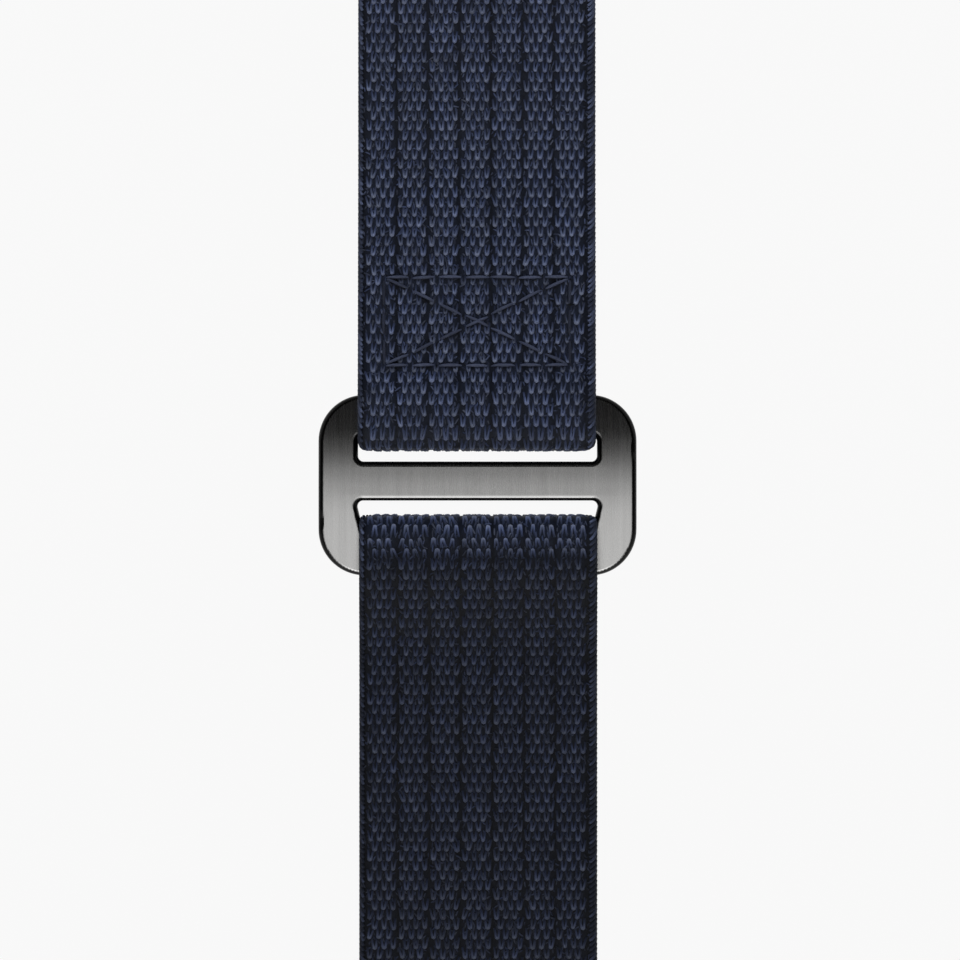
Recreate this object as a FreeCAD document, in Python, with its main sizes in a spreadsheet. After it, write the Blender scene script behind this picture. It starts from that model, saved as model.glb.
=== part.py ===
import FreeCAD, Part
import math
import os

import Sketcher

# A woven strap for a wrist-worn tracker, in millimetres, lying flat with its outer face up.
# X runs across the strap, Y along it and Z up from the surface that it lies on. The origin is
# under the centre of the buckle. The upper half runs towards +Y and the lower half towards -Y.
# A place along a half is given as its distance from the buckle's centre.

# Driving dimensions: alias, value, what it measures.
DIMENSIONS = [
    ("strap_width", 25.0, "width of the webbing"),
    ("strap_thick", 1.5, "thickness of one layer of webbing"),
    ("half_length", 80.0, "buckle centre to the end of either half"),
    ("joint_gap", 0.1, "slit between two webbing segments"),
    # buckle
    ("frame_width", 33.5, "buckle across the strap"),
    ("frame_length", 19.04, "buckle along the strap"),
    ("frame_thick", 1.8, "thickness of the buckle plate"),
    ("frame_corner", 4.84, "radius of the buckle's outer corners"),
    ("frame_edge", 0.6, "rounding of the buckle's rims"),
    ("bow_radius", 45.0, "radius to which the plate is bowed"),
    ("bow_angle", 32.0, "arc of plate before it is trimmed, in degrees"),
    ("trim_reach", 20.0, "half size of the outline that trims the plate"),
    ("margin", 1.0, "how far a cutting outline runs past what it cuts"),
    ("slot_corner", 0.6, "radius of the slots' corners"),
    ("upper_slot_near", 2.49, "upper slot's edge at the centre bar"),
    ("upper_slot_far", 5.17, "upper slot's edge at the end bar"),
    ("upper_slot_width", 25.17, "width of the upper slot"),
    ("lower_slot_near", 1.63, "lower slot's edge at the centre bar"),
    ("lower_slot_far", 4.9, "lower slot's edge at the end bar"),
    ("lower_slot_near_width", 25.6, "width of the lower slot at the centre bar"),
    ("lower_slot_far_width", 24.0, "width of the lower slot at the end bar"),
    # loops of webbing round the buckle's end bars
    ("pocket_half", 1.5, "half the height of the pocket that holds the bar"),
    ("roll_inner", 1.0, "inside radius of the webbing's roll"),
    ("upper_roll", 3.51, "outside of the upper roll"),
    ("lower_roll", 3.02, "outside of the lower roll"),
    ("pinch_height", 4.8, "height up to which the roll is pinched in the slot"),
    ("pinch_reach", 5.6, "how far along the strap the pinch goes"),
    ("upper_pinch_half", 12.1, "half width of the upper roll in its slot"),
    ("lower_pinch_half", 11.6, "half width of the lower roll in its slot"),
    ("upper_crest_end", 9.4, "where the upper layer starts to slope down"),
    ("lower_crest_end", 9.0, "where the lower strap's front layer starts to slope down"),
    ("sewn_start", 12.4, "where the two upper layers meet"),
    ("sewn_start_top", 4.9, "top of the sewn layers where they meet"),
    ("fold_end", 24.0, "end of the folded-back upper layer"),
    ("upper_settle", 34.0, "where the upper webbing comes down to the surface"),
    ("lower_level", 16.5, "where the front layer becomes level over the tail"),
    # flex lines, where a segment of webbing bends against the next
    ("upper_flex_1", 26.0, "first flex line of the upper half"),
    ("lower_flex_1", 18.0, "first flex line of the lower half"),
    ("flex_pitch", 12.0, "distance between flex lines"),
    # tail of the lower webbing and its hook-and-loop fastening
    ("patch_thick", 0.4, "thickness of the hook patch or of the loop patch"),
    ("patch_width", 21.0, "width of both patches"),
    ("loop_patch_start", 20.0, "start of the loop patch"),
    ("tail_peel", 44.5, "where the tail's tip can be peeled down"),
    ("tail_end", 53.5, "end of the tail"),
    ("tail_corner", 3.0, "rounding of the tail's corners"),
    ("lower_settle", 62.0, "where the front layer comes down past the tail"),
    # sewn ends round the spring bars
    ("end_rise", 3.5, "length over which the end climbs over its own fold"),
    ("end_fold_gap", 0.5, "gap before the end of the fold"),
    ("end_ramp", 3.6, "distance from the bar at which the loop starts to swell"),
    ("swell_height", 4.5756, "height at which the swelling loop meets its eye"),
    ("bar_clearance", 0.06, "running clearance between bar and webbing"),
    ("notch_near", 8.3, "inner side of the lever's notch, across the strap"),
    ("notch_far", 11.8, "outer side of the lever's notch"),
    ("notch_half", 1.5, "half length of the lever's notch, along the strap"),
    # spring bars
    ("tube_radius", 0.9, "outside radius of the bar's tube"),
    ("tube_bore", 0.74, "bore of the tube"),
    ("tube_half", 12.4, "half length of the tube"),
    ("tube_wall", 0.6, "end wall of the tube"),
    ("tube_hole", 0.62, "hole in the end wall that the sliding tip comes out of"),
    ("tip_radius", 0.4, "radius of the tips that enter a case's lugs"),
    ("tip_reach", 14.0, "outer end of the tips, from the middle of the bar"),
    ("tip_nose", 0.12, "rounding of the tips' noses"),
    ("neck_radius", 0.58, "radius of the tips' necks in the tube's end walls"),
    ("head_radius", 0.69, "radius of the tips' heads inside the tube"),
    ("fixed_head", 0.8, "length of the fixed tip's head"),
    ("sliding_head", 2.15, "length of the sliding tip's head"),
    ("stop_gap", 0.05, "play between the sliding head and the end wall"),
    ("release_travel", 1.4, "travel of the release lever"),
    ("lever_at", 10.7, "middle of the lever, from the middle of the bar"),
    ("stem_radius", 0.22, "half width of the lever's stem, and radius of its seat"),
    ("stem_depth", 0.286, "lever's stem along the strap"),
    ("stem_seat", 0.15, "how far below the bar's axis the stem is seated"),
    ("paddle_width", 1.1, "lever's paddle across the strap"),
    ("paddle_length", 1.8, "lever's paddle along the strap"),
    ("paddle_top", 1.35, "top of the paddle, below the bar's axis"),
    ("paddle_thick", 0.7, "thickness of the paddle"),
    ("window_half", 0.45, "half width of the tube's window for the lever"),
    ("window_margin", 0.12, "space beyond the stem's travel in the window"),
    ("spring_radius", 0.52, "middle radius of the coil spring"),
    ("spring_wire", 0.09, "radius of the spring's wire"),
    ("spring_pitch", 1.0, "pitch of the coils"),
    # thread
    ("thread", 0.28, "thickness of the sewing thread"),
    ("stitch", 2.3, "length of one visible stitch"),
    ("box_half_width", 9.8, "half width of the stitched box"),
    ("box_near", 12.7, "near row of the stitched box"),
    ("box_far", 21.9, "far row of the stitched box"),
    ("end_row_inset", 1.2, "end stitch rows from the fold's end and, halved, from the ramp"),
]

SIDE_STITCHES = 3
ROW_STITCHES = 7
DIAGONAL_STITCHES = 7
THREAD_LIFT = 0.02


class Size:
    """A length with its value and the spreadsheet expression that drives it."""

    def __init__(self, value, text=None):
        self.value = float(value)
        self.text = text or repr(float(value))

    def __add__(self, other):
        other = as_size(other)
        return Size(self.value + other.value, f"({self.text} + {other.text})")

    def __sub__(self, other):
        other = as_size(other)
        return Size(self.value - other.value, f"({self.text} - {other.text})")

    def __mul__(self, other):
        other = as_size(other)
        return Size(self.value * other.value, f"({self.text} * {other.text})")

    def __truediv__(self, other):
        other = as_size(other)
        return Size(self.value / other.value, f"({self.text} / {other.text})")

    def __neg__(self):
        return Size(-self.value, f"(-1 * {self.text})")


def as_size(number):
    return number if isinstance(number, Size) else Size(number)


def make_sheet(doc):
    """The spreadsheet of driving dimensions, and the same dimensions as Sizes by alias."""
    sheet = doc.addObject("Spreadsheet::Sheet", "dims")
    sizes = {}
    for row, (alias, value, note) in enumerate(DIMENSIONS, start=1):
        sheet.set(f"A{row}", note)
        sheet.set(f"B{row}", str(value))
        sheet.setAlias(f"B{row}", alias)
        sizes[alias] = Size(value, f"dims.{alias}")
    doc.recompute()
    return sizes


doc = FreeCAD.newDocument("tracker_band")
dim = make_sheet(doc)
sub_parts = []


# ---- sketches and features ----


def new_body(label, place=None):
    """A PartDesign body that will be one sub-part. place is (y, z, turn about Z in degrees)."""
    body = doc.addObject("PartDesign::Body", label)
    body.Label = label
    if place:
        y, z, turn = place
        body.Placement = FreeCAD.Placement(
            FreeCAD.Vector(0, y.value, z.value), FreeCAD.Rotation(FreeCAD.Vector(0, 0, 1), turn)
        )
        body.setExpression("Placement.Base.y", y.text)
        body.setExpression("Placement.Base.z", z.text)
    sub_parts.append(body)
    return body


def sketch_on(body, role):
    """An empty sketch on one of the body's own origin planes."""
    sketch = body.newObject("Sketcher::SketchObject", f"{body.Label}_sketch")
    plane = next(f for f in body.Origin.OriginFeatures if f.Role == role)
    sketch.AttachmentSupport = [(plane, "")]
    sketch.MapMode = "FlatFace"
    return sketch


def bind(sketch, constraint, size):
    index = sketch.addConstraint(constraint)
    sketch.setExpression(f"Constraints[{index}]", size.text)


def place_point(sketch, geometry, which, point):
    """Fixes a point of the sketch at a distance from the origin along both sketch axes."""
    for kind, size in zip(("DistanceX", "DistanceY"), point):
        bind(sketch, Sketcher.Constraint(kind, -1, 1, geometry, which, size.value), size)


def add_polygon(sketch, points):
    """A closed outline through points, each a pair of Sizes."""
    points = [(as_size(u), as_size(v)) for u, v in points]
    corners = [FreeCAD.Vector(u.value, v.value, 0) for u, v in points]
    first = sketch.GeometryCount
    for start, end in zip(corners, corners[1:] + corners[:1]):
        sketch.addGeometry(Part.LineSegment(start, end))
    for i, point in enumerate(points):
        following = first + (i + 1) % len(points)
        sketch.addConstraint(Sketcher.Constraint("Coincident", first + i, 2, following, 1))
        place_point(sketch, first + i, 1, point)


def add_circle(sketch, centre, radius):
    middle = FreeCAD.Vector(centre[0].value, centre[1].value, 0)
    circle = Part.Circle(middle, FreeCAD.Vector(0, 0, 1), radius.value)
    geometry = sketch.addGeometry(circle)
    bind(sketch, Sketcher.Constraint("Radius", geometry, radius.value), radius)
    place_point(sketch, geometry, 3, centre)


def rectangle(left, low, right, high):
    return [(left, low), (right, low), (right, high), (left, high)]


def finish_feature(body, feature, sketch=None):
    """Hides the feature's sketch, recomputes, and stops if the feature failed."""
    if sketch is not None:
        sketch.Visibility = False
    doc.recompute()
    if feature.Shape.isNull() or not feature.Shape.isValid():
        raise RuntimeError(f"{body.Label}: {feature.Label} failed")
    return feature


def pad(body, sketch, length, symmetric=True):
    feature = body.newObject("PartDesign::Pad", f"{body.Label}_pad")
    feature.Profile = sketch
    feature.SideType = "Symmetric" if symmetric else "One side"
    feature.setExpression("Length", length.text)
    return finish_feature(body, feature, sketch)


def pocket(body, sketch, length=None, up=False):
    """Cuts the sketch through all on both sides, or by length to one side of its plane."""
    before = body.Shape.Volume
    feature = body.newObject("PartDesign::Pocket", f"{body.Label}_pocket")
    feature.Profile = sketch
    if length is None:
        feature.SideType = "Symmetric"
        feature.Type = "ThroughAll"
    else:
        feature.Reversed = up
        feature.setExpression("Length", length.text)
    finish_feature(body, feature, sketch)
    if feature.Shape.Volume >= before:
        raise RuntimeError(f"{body.Label}: {feature.Label} cuts nothing")
    return feature


def revolve(body, sketch, axis, angle=360.0):
    feature = body.newObject("PartDesign::Revolution", f"{body.Label}_revolution")
    feature.Profile = sketch
    feature.ReferenceAxis = (sketch, [axis])
    feature.Midplane = True
    feature.setExpression("Angle", as_size(angle).text)
    return finish_feature(body, feature, sketch)


def fillet(body, radius, chosen):
    """Rounds the edges of the body's tip for which chosen(edge) is true."""
    base = body.Tip
    names = [f"Edge{i}" for i, e in enumerate(base.Shape.Edges, start=1) if chosen(e)]
    if not names:
        raise RuntimeError(f"{body.Label}: no edge to round")
    feature = body.newObject("PartDesign::Fillet", f"{body.Label}_fillet")
    feature.Base = (base, names)
    feature.setExpression("Radius", radius.text)
    return finish_feature(body, feature)


def runs_along(edge, direction):
    """True if the edge is a straight line along direction."""
    if edge.Curve.TypeId != "Part::GeomLine":
        return False
    return edge.tangentAt(edge.FirstParameter).cross(direction).Length < 1e-6


def edge_at(edge, direction, **coordinates):
    """True for a straight edge along direction whose middle has the given coordinates."""
    middle = edge.CenterOfMass
    near = all(abs(getattr(middle, axis) - at) < 1e-4 for axis, at in coordinates.items())
    return near and runs_along(edge, direction)


ACROSS = FreeCAD.Vector(1, 0, 0)
UP = FreeCAD.Vector(0, 0, 1)
half_width = dim["strap_width"] / 2
thick = dim["strap_thick"]
bar_height = thick + dim["pocket_half"]
crest_low = thick + dim["pocket_half"] * 2
crest_top = crest_low + thick
slit = dim["joint_gap"] / 2


# ---- buckle ----


def make_buckle():
    """A bowed plate with two slots, so that a bar crosses it at each end and in the middle."""
    body = new_body("buckle_frame")
    # The bars over the webbing's pockets are level with the pockets, which sets the bow's height.
    bar_at = (dim["upper_slot_far"].value + dim["frame_length"].value / 2) / 2
    drop = dim["bow_radius"].value - math.sqrt(dim["bow_radius"].value ** 2 - bar_at**2)
    centre_height = bar_height + drop
    half_x = dim["frame_width"] / 2
    half_y = dim["frame_length"] / 2
    half_plate = dim["frame_thick"] / 2

    # Sketch Y of the XZ plane is the model's Z.
    slab = sketch_on(body, "XZ_Plane")
    over = half_x + dim["margin"]
    add_polygon(slab, rectangle(-over, centre_height - half_plate, over, centre_height + half_plate))
    axis_height = centre_height - dim["bow_radius"]
    ends = [(-half_x, axis_height), (half_x, axis_height)]
    line = Part.LineSegment(*(FreeCAD.Vector(x.value, z.value, 0) for x, z in ends))
    axis = slab.addGeometry(line, True)
    for which, point in zip((1, 2), ends):
        place_point(slab, axis, which, point)
    revolve(body, slab, "Axis0", dim["bow_angle"])

    rim = sketch_on(body, "XY_Plane")
    reach = dim["trim_reach"]
    add_polygon(rim, rectangle(-reach, -reach, reach, reach))
    add_polygon(rim, rectangle(-half_x, -half_y, half_x, half_y))
    pocket(body, rim)

    slots = sketch_on(body, "XY_Plane")
    upper_half = dim["upper_slot_width"] / 2
    near, far = dim["upper_slot_near"], dim["upper_slot_far"]
    add_polygon(slots, rectangle(-upper_half, near, upper_half, far))
    near, far = -dim["lower_slot_near"], -dim["lower_slot_far"]
    near_half, far_half = dim["lower_slot_near_width"] / 2, dim["lower_slot_far_width"] / 2
    add_polygon(slots, [(-near_half, near), (-far_half, far), (far_half, far), (near_half, near)])
    pocket(body, slots)

    outline_x, outline_y = half_x.value, half_y.value

    def outer(edge):
        middle = edge.CenterOfMass
        at_corner = abs(abs(middle.x) - outline_x) < 1e-4 and abs(abs(middle.y) - outline_y) < 1e-4
        return at_corner and runs_along(edge, UP)

    fillet(body, dim["frame_corner"], outer)
    fillet(body, dim["slot_corner"], lambda edge: runs_along(edge, UP) and inside_outline(edge))

    plate_top = dim["bow_radius"].value + half_plate.value
    plate_bottom = dim["bow_radius"].value - half_plate.value
    centre = axis_height.value

    def on_face(edge):
        """True if the whole edge lies in the plate's outer or inner face."""
        for share in (0.1, 0.5, 0.9):
            span = edge.LastParameter - edge.FirstParameter
            point = edge.valueAt(edge.FirstParameter + share * span)
            reach = math.hypot(point.y, point.z - centre)
            if min(abs(reach - plate_top), abs(reach - plate_bottom)) > 1e-3:
                return False
        return True

    fillet(body, dim["frame_edge"], on_face)


def inside_outline(edge):
    """True if the edge is at one of the slots' corners rather than on the buckle's outline."""
    middle = edge.CenterOfMass
    in_width = abs(middle.x) < dim["lower_slot_near_width"].value / 2 + 0.1
    return in_width and abs(middle.y) < dim["upper_slot_far"].value + 0.1


# ---- webbing round the buckle's bars ----


def round_roll(body, side, roll):
    """Rounds the outside and the inside of the roll that goes through a slot."""
    outside = side * roll.value
    inside = side * (roll.value + thick.value)
    outer_radius = dim["roll_inner"] + thick

    def outer(edge):
        return any(edge_at(edge, ACROSS, y=outside, z=z) for z in (0.0, crest_top.value))

    def inner(edge):
        return any(edge_at(edge, ACROSS, y=inside, z=z) for z in (thick.value, crest_low.value))

    fillet(body, outer_radius, outer)
    fillet(body, dim["roll_inner"], inner)


def pinch_roll(body, side, roll, pinch_half):
    """Narrows the roll from the surface up to just above the buckle, where it is in the slot."""
    sketch = sketch_on(body, "XY_Plane")
    start = (roll - dim["margin"]) * side
    end = dim["pinch_reach"] * side
    outer = half_width + dim["margin"]
    add_polygon(sketch, rectangle(pinch_half, start, outer, end))
    add_polygon(sketch, rectangle(-outer, start, -pinch_half, end))
    pocket(body, sketch, dim["pinch_height"], up=True)


def front_low_upper(at):
    """Underside of the upper webbing between the fold's end and where it reaches the surface."""
    run = dim["upper_settle"] - dim["fold_end"]
    return thick * (dim["upper_settle"] - at) / run


def make_upper_loop():
    """Webbing folded back round the end bar and sewn to itself."""
    body = new_body("upper_buckle_loop")
    roll, crest_end = dim["upper_roll"], dim["upper_crest_end"]
    sewn, fold_end = dim["sewn_start"], dim["fold_end"]
    end = dim["upper_flex_1"] - slit
    outline = sketch_on(body, "YZ_Plane")
    add_polygon(
        outline,
        [
            (roll, 0),
            (crest_end, 0),
            (sewn, dim["sewn_start_top"] - thick * 2),
            (fold_end, 0),
            (fold_end, thick),
            (end, front_low_upper(end)),
            (end, front_low_upper(end) + thick),
            (fold_end, thick * 2),
            (sewn, dim["sewn_start_top"]),
            (crest_end, crest_top),
            (roll, crest_top),
        ],
    )
    pad(body, outline, dim["strap_width"])
    inside = sketch_on(body, "YZ_Plane")
    add_polygon(
        inside,
        [
            (roll + thick, thick),
            (crest_end, thick),
            (sewn, dim["sewn_start_top"] - thick),
            (crest_end, crest_low),
            (roll + thick, crest_low),
        ],
    )
    pocket(body, inside)
    round_roll(body, 1, roll)
    pinch_roll(body, 1, roll, dim["upper_pinch_half"])


level_low = thick + dim["patch_thick"] * 2


def make_lower_loop():
    """Webbing that goes over the end bar, through the slot and back under itself as the tail."""
    body = new_body("lower_buckle_loop")
    roll, crest_end = -dim["lower_roll"], -dim["lower_crest_end"]
    level, end = -dim["lower_level"], -(dim["lower_flex_1"] - slit)
    outline = sketch_on(body, "YZ_Plane")
    add_polygon(
        outline,
        [
            (roll, 0),
            (roll, crest_top),
            (crest_end, crest_top),
            (level, level_low + thick),
            (end, level_low + thick),
            (end, level_low),
            (level, level_low),
            (crest_end, crest_low),
            (roll - thick, crest_low),
            (roll - thick, thick),
            (end, thick),
            (end, 0),
        ],
    )
    pad(body, outline, dim["strap_width"])
    round_roll(body, -1, dim["lower_roll"])
    pinch_roll(body, -1, dim["lower_roll"], dim["lower_pinch_half"])


# ---- straight and sloping runs of webbing, and the fastening patches ----


def make_run(label, side, stations, thickness=thick, width=dim["strap_width"]):
    """A strip through stations, each the distance along a half and the height of its underside."""
    body = new_body(label)
    under = [(at * side, as_size(height)) for at, height in stations]
    over = [(along, height + thickness) for along, height in reversed(under)]
    outline = sketch_on(body, "YZ_Plane")
    add_polygon(outline, under + over)
    pad(body, outline, width)
    return body


def flex_line(half, number):
    """Distance of a half's numbered flex line from the buckle's centre."""
    return dim[f"{half}_flex_1"] + dim["flex_pitch"] * (number - 1)


def segment_span(half, number):
    """Start and end of the segment between a flex line and the next."""
    return flex_line(half, number) + slit, flex_line(half, number + 1) - slit


def make_upper_runs():
    for number in (1, 2, 3):
        start, end = segment_span("upper", number)
        stations = [(start, 0), (end, 0)]
        if number == 1:
            stations = [(start, front_low_upper(start)), (dim["upper_settle"], 0), (end, 0)]
        make_run(f"upper_webbing_{number}", 1, stations)


def make_lower_runs():
    """Front layer, tail, and the patches between them."""
    loop_low = level_low - dim["patch_thick"]
    for number in (1, 2, 3):
        start, end = segment_span("lower", number)
        make_run(f"lower_webbing_{number}", -1, [(start, level_low), (end, level_low)])
        tail_end = end if number < 3 else dim["tail_peel"] - slit
        make_run(f"tail_{number}", -1, [(start, 0), (tail_end, 0)])
        patch_start = dim["loop_patch_start"] if number == 1 else start
        make_run(
            f"loop_patch_{number}",
            -1,
            [(patch_start, loop_low), (end, loop_low)],
            dim["patch_thick"],
            dim["patch_width"],
        )
    start, end = segment_span("lower", 4)
    make_run("lower_webbing_4", -1, [(start, level_low), (dim["lower_settle"], 0), (end, 0)])


def make_tail_tip():
    peel, end = dim["tail_peel"] + slit, dim["tail_end"]
    tip = make_run("tail_tip", -1, [(peel, 0), (end, 0)])
    fillet(tip, dim["tail_corner"], lambda edge: edge_at(edge, UP, y=-end.value))
    patch_inset = dim["end_fold_gap"]
    make_run(
        "hook_patch",
        -1,
        [(peel + patch_inset, thick), (end - patch_inset, thick)],
        dim["patch_thick"],
        dim["patch_width"],
    )


# ---- sewn ends and spring bars ----

eye_radius = dim["tube_radius"] + dim["bar_clearance"] + thick
bar_at = dim["half_length"] - eye_radius


def make_end_loop(half, side, first_flex):
    """The strap's end: it climbs over its own fold, goes round the spring bar and is sewn."""
    body = new_body(f"{half}_end_loop")
    start = first_flex + slit
    climbed = first_flex + dim["end_rise"]
    fold = climbed + dim["end_fold_gap"]
    ramp = bar_at - dim["end_ramp"]
    swell = bar_at - eye_radius / 2
    outline = sketch_on(body, "YZ_Plane")
    under = [(start, 0), (climbed, thick), (fold, thick), (fold, 0), (bar_at, 0)]
    over = [(bar_at, thick * 2), (swell, dim["swell_height"]), (ramp, thick * 2)]
    over += [(climbed, thick * 2), (start, thick)]
    add_polygon(outline, [(at * side, height) for at, height in under + over])
    pad(body, outline, dim["strap_width"])
    eye = sketch_on(body, "YZ_Plane")
    add_circle(eye, (bar_at * side, eye_radius), eye_radius)
    pad(body, eye, dim["strap_width"])
    bore = sketch_on(body, "YZ_Plane")
    add_circle(bore, (bar_at * side, eye_radius), dim["tube_radius"] + dim["bar_clearance"])
    pocket(body, bore)
    notch = sketch_on(body, "XY_Plane")
    across = (dim["notch_near"] * side, dim["notch_far"] * side)
    along = ((bar_at - dim["notch_half"]) * side, (bar_at + dim["notch_half"]) * side)
    add_polygon(notch, rectangle(across[0], along[0], across[1], along[1]))
    pocket(body, notch, eye_radius, up=True)
    return ramp, fold


def turned_piece(label, place, profile):
    """A turned piece along X, from its half profile of (distance along X, radius)."""
    body = new_body(label, place)
    sketch = sketch_on(body, "XY_Plane")
    add_polygon(sketch, profile)
    revolve(body, sketch, "H_Axis")
    return body


def round_nose(body, end):
    """Rounds the free end of a tip."""
    fillet(body, dim["tip_nose"], lambda edge: abs(edge.CenterOfMass.x - end) < 1e-4)


def make_bar(half, side):
    """A quick-release spring bar: a tube, a fixed tip, a sliding tip with its lever, a spring."""
    place = (bar_at * side, eye_radius, 0 if side > 0 else 180)
    bore, hole, radius = dim["tube_bore"], dim["tube_hole"], dim["tube_radius"]
    tube_end, wall = dim["tube_half"], dim["tube_half"] - dim["tube_wall"]
    tip, reach = dim["tip_radius"], dim["tip_reach"]
    neck, head = dim["neck_radius"], dim["head_radius"]

    tube = turned_piece(
        f"{half}_bar_tube",
        place,
        [
            (-tube_end, neck),
            (-wall, neck),
            (-wall, bore),
            (wall, bore),
            (wall, hole),
            (tube_end, hole),
            (tube_end, radius),
            (-tube_end, radius),
        ],
    )
    window = sketch_on(tube, "XY_Plane")
    outer_side = dim["lever_at"] + dim["stem_radius"] + dim["window_margin"]
    inner_side = (
        dim["lever_at"] - dim["stem_radius"] - dim["release_travel"] - dim["window_margin"]
    )
    half_window = dim["window_half"]
    add_polygon(window, rectangle(inner_side, -half_window, outer_side, half_window))
    pocket(tube, window, radius * 2)

    fixed_inner = -wall + dim["fixed_head"]
    fixed = turned_piece(
        f"{half}_bar_fixed_tip",
        place,
        [
            (-reach, 0),
            (-reach, tip),
            (-tube_end, tip),
            (-tube_end, neck),
            (-wall, neck),
            (-wall, head),
            (fixed_inner, head),
            (fixed_inner, 0),
        ],
    )
    round_nose(fixed, -reach.value)

    shoulder = wall - dim["stop_gap"]
    sliding_inner = shoulder - dim["sliding_head"]
    sliding = turned_piece(
        f"{half}_bar_sliding_tip",
        place,
        [
            (reach, 0),
            (reach, tip),
            (tube_end, tip),
            (tube_end, neck),
            (shoulder, neck),
            (shoulder, head),
            (sliding_inner, head),
            (sliding_inner, 0),
        ],
    )
    round_nose(sliding, reach.value)
    seat = sketch_on(sliding, "XY_Plane")
    add_circle(seat, (dim["lever_at"], Size(0)), dim["stem_radius"])
    pocket(sliding, seat, radius)

    make_lever(half, place)
    make_spring(half, place, fixed_inner, sliding_inner)


def make_lever(half, place):
    """The release lever: a stem seated in the sliding tip and a paddle for a fingernail."""
    lever = new_body(f"{half}_release_lever", place)
    stem = sketch_on(lever, "XZ_Plane")
    left, right = dim["lever_at"] - dim["stem_radius"], dim["lever_at"] + dim["stem_radius"]
    add_polygon(stem, rectangle(left, -dim["paddle_top"], right, -dim["stem_seat"]))
    pad(lever, stem, dim["stem_depth"])
    paddle = sketch_on(lever, "XZ_Plane")
    left, right = dim["lever_at"] - dim["paddle_width"] / 2, dim["lever_at"] + dim["paddle_width"] / 2
    bottom = dim["paddle_top"] + dim["paddle_thick"]
    add_polygon(paddle, rectangle(left, -bottom, right, -dim["paddle_top"]))
    pad(lever, paddle, dim["paddle_length"])
    low = -bottom.value
    fillet(lever, dim["tip_nose"], lambda edge: edge_at(edge, ACROSS, z=low))


def make_spring(half, place, start, end):
    """The coil spring that pushes the sliding tip out."""
    spring = new_body(f"{half}_bar_spring", place)
    wire = dim["spring_wire"]
    clear = wire + dim["stop_gap"]
    section = sketch_on(spring, "XY_Plane")
    add_circle(section, (start + clear, dim["spring_radius"]), wire)
    helix = spring.newObject("PartDesign::AdditiveHelix", f"{spring.Label}_helix")
    helix.Profile = section
    helix.ReferenceAxis = (section, ["H_Axis"])
    helix.Mode = "pitch-height-angle"
    helix.setExpression("Pitch", dim["spring_pitch"].text)
    helix.setExpression("Height", (end - start - clear * 2).text)
    finish_feature(spring, helix, section)


# ---- sewing thread ----


def thread_run(start, end):
    """One visible stitch: a round thread lying along a line, with its ends cut square."""
    direction = end - start
    radius = dim["thread"].value / 2
    return Part.makeCylinder(radius, direction.Length, start, direction)


def stitch_row(start, end, count):
    """count stitches spread evenly from start to end, both in the strap's top surface."""
    lift = FreeCAD.Vector(0, 0, dim["thread"].value / 2 + THREAD_LIFT)
    along = (end - start).normalize() * (dim["stitch"].value / 2)
    row = []
    for i in range(count):
        middle = start + (end - start) * ((i + 0.5) / count) + lift
        row.append(thread_run(middle - along, middle + along))
    return row


def add_thread(label, stitches):
    """A sub-part of separate stitches."""
    feature = doc.addObject("Part::Feature", label)
    feature.Label = label
    feature.Shape = Part.makeCompound(stitches)
    feature.Placement = FreeCAD.Placement()
    sub_parts.append(feature)


def make_box_stitch():
    """The box with crossed diagonals that holds the upper fold."""
    slope_start, slope_end = dim["sewn_start"].value, dim["fold_end"].value
    top_start, top_end = dim["sewn_start_top"].value, thick.value * 2

    def on_top(x, y):
        share = (y - slope_start) / (slope_end - slope_start)
        return FreeCAD.Vector(x, y, top_start + share * (top_end - top_start))

    half = dim["box_half_width"].value
    near, far = dim["box_near"].value, dim["box_far"].value
    corners = [on_top(-half, near), on_top(half, near), on_top(half, far), on_top(-half, far)]
    stitches = stitch_row(corners[0], corners[1], ROW_STITCHES)
    stitches += stitch_row(corners[3], corners[2], ROW_STITCHES)
    stitches += stitch_row(corners[0], corners[3], SIDE_STITCHES)
    stitches += stitch_row(corners[1], corners[2], SIDE_STITCHES)
    for start, end in ((corners[0], corners[2]), (corners[1], corners[3])):
        row = stitch_row(start, end, DIAGONAL_STITCHES)
        # The diagonals share the box's centre, where only the first one shows its thread.
        if start is corners[1]:
            del row[DIAGONAL_STITCHES // 2]
        stitches += row
    add_thread("box_stitch", stitches)


def make_end_stitch(half, side, ramp, fold):
    """Two rows of stitches across the sewn end."""
    reach = dim["box_half_width"].value
    top = thick.value * 2
    inset = dim["end_row_inset"].value
    stitches = []
    for along in (fold.value + inset, ramp.value - inset / 2):
        y = side * along
        start, end = FreeCAD.Vector(-reach, y, top), FreeCAD.Vector(reach, y, top)
        stitches += stitch_row(start, end, ROW_STITCHES)
    add_thread(f"{half}_end_stitch", stitches)


# ---- the whole strap ----

make_buckle()
make_upper_loop()
make_upper_runs()
make_lower_loop()
make_lower_runs()
make_tail_tip()
make_box_stitch()
for half, side, last_flex in (("upper", 1, 4), ("lower", -1, 5)):
    ramp, fold = make_end_loop(half, side, flex_line(half, last_flex))
    make_end_stitch(half, side, ramp, fold)
    make_bar(half, side)
doc.recompute()

for item in doc.Objects:
    failed = {"Invalid", "Error"} & set(item.State)
    if failed:
        raise RuntimeError(f"{item.Label} is {', '.join(sorted(failed))}")
os.makedirs("parts", exist_ok=True)
for part in sub_parts:
    if part.Shape.isNull() or not part.Shape.isValid():
        raise RuntimeError(f"{part.Label} has no valid shape")
    part.Shape.exportStep(f"parts/{part.Label}.step")
    print(f"{part.Label}: {part.Shape.Volume:.2f} mm3, {len(part.Shape.Solids)} solid(s)")
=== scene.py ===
import math

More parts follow.
